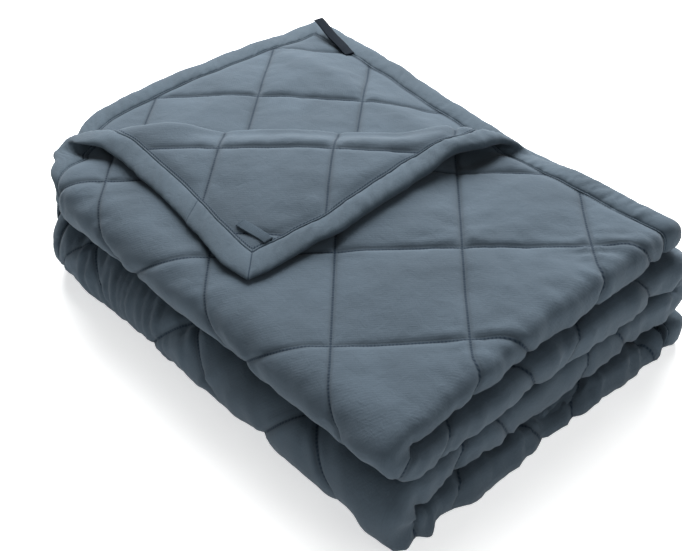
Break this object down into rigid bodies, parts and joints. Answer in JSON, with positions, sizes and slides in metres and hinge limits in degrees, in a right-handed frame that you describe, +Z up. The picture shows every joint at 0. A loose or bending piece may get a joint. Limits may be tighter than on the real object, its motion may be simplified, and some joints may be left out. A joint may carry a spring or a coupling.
{
  "type": "weighted blanket",
  "caption": "Quilted weighted throw blanket with bound edges, folded in half and then in quarters, one corner turned back with its tie loop showing.",
  "frame": {"origin": "centre of the folded stack's bounding box in plan, at the resting surface", "axes": "+X along the stack towards the half fold, +Y towards the side where the free long edges lie, +Z up; the rounded folds face -Y"},
  "size_m": [0.6532, 0.4872, 0.1771],
  "materials": {
    "cloth_slate": "matte",
    "binding_slate": "matte",
    "loop_grey": "matte",
    "loop_dark": "matte"
  },
  "bodies": {
    "root": {"quilted_sheet": "cloth_slate", "edge_binding": "binding_slate", "loop_front": "loop_grey", "loop_back": "loop_dark"}
  },
  "joints": []
}
